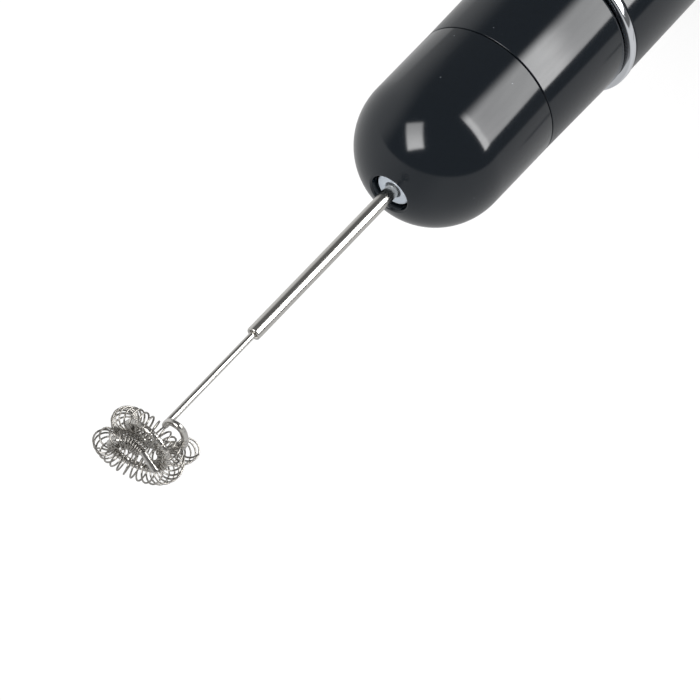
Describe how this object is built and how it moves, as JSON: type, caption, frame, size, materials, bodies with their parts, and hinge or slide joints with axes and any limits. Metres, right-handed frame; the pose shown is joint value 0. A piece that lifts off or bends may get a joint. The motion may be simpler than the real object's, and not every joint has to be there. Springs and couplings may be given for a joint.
{
  "type": "milk frother",
  "caption": "Handheld battery milk frother: dark rounded housing with a bright trim ring, a steel shaft and a coil-wrapped wire whisk that spins.",
  "frame": {"origin": "centre of the end cap's flat bottom, on the spin axis", "axes": "+Z along the spin axis from the end cap towards the whisk, +X towards the thumb switch"},
  "size_m": [0.0421, 0.0408, 0.2255],
  "materials": {
    "gloss_black_abs": "polished moulding, near black",
    "chrome_plate": "bright chrome plate",
    "white_abs": "satin moulding, cool white",
    "grey_nylon": "satin moulding",
    "polished_steel": "drawn and polished stainless steel",
    "spring_steel": "drawn stainless wire",
    "black_rubber": "matt",
    "zinc_plate": "bright zinc plate",
    "nickel_plate": "nickel plate",
    "brass": "stamped sheet",
    "copper": "enamelled winding wire and bar copper",
    "sintered_bronze": "sintered, oiled",
    "ferrite": "fired ferrite and black nylon",
    "carbon": "pressed carbon",
    "silicon_steel": "stacked laminations",
    "circuit_board": "green solder mask",
    "cell_wrap": "plain shrink wrap on steel",
    "red_lead": "soft insulation",
    "black_lead": "soft insulation and black moulding"
  },
  "bodies": {
    "housing": {"nose_cap": "gloss_black_abs", "front_housing": "gloss_black_abs", "trim_ring": "chrome_plate", "handle_shell": "gloss_black_abs", "battery_tray": "black_lead", "battery_a": "cell_wrap", "battery_b": "cell_wrap", "battery_spring_b": "nickel_plate", "contact_positive": "nickel_plate", "contact_negative": "nickel_plate", "switch_body": "zinc_plate", "switch_board": "circuit_board", "lead_battery": "red_lead", "lead_motor": "red_lead", "lead_return": "black_lead", "motor_holder": "white_abs", "motor_can": "zinc_plate", "motor_end_bell": "ferrite", "magnet_a": "ferrite", "magnet_b": "ferrite", "front_bush": "sintered_bronze", "rear_bush": "sintered_bronze", "brush_a": "carbon", "brush_b": "carbon", "terminal_a": "brass", "terminal_b": "brass", "motor_screw_a": "zinc_plate", "motor_screw_b": "zinc_plate"},
    "rotor": {"motor_shaft": "polished_steel", "armature_core": "silicon_steel", "winding_a": "copper", "winding_b": "copper", "winding_c": "copper", "commutator": "copper", "drive_coupling": "grey_nylon", "whisk_sleeve": "polished_steel", "whisk_rod": "polished_steel", "whisk_spring": "spring_steel"},
    "switch": {"switch_slider": "gloss_black_abs", "switch_lever": "grey_nylon"},
    "cap": {"end_cap": "gloss_black_abs", "cap_seal": "black_rubber", "cap_bridge": "nickel_plate", "battery_spring_a": "nickel_plate"}
  },
  "joints": [
    {"name": "whisk_spin", "type": "hinge", "parent": "housing", "child": "rotor", "pos_m": [0, 0, 0.1], "axis": [0, 0, 1], "continuous": true},
    {"name": "switch_slide", "type": "slide", "parent": "housing", "child": "switch", "axis": [0, 0, 1], "range_m": [0, 0.004]},
    {"name": "cap_twist", "type": "hinge", "parent": "housing", "child": "cap", "pos_m": [0, 0, 0.005], "axis": [0, 0, -1], "range_deg": [0, 40]}
  ]
}
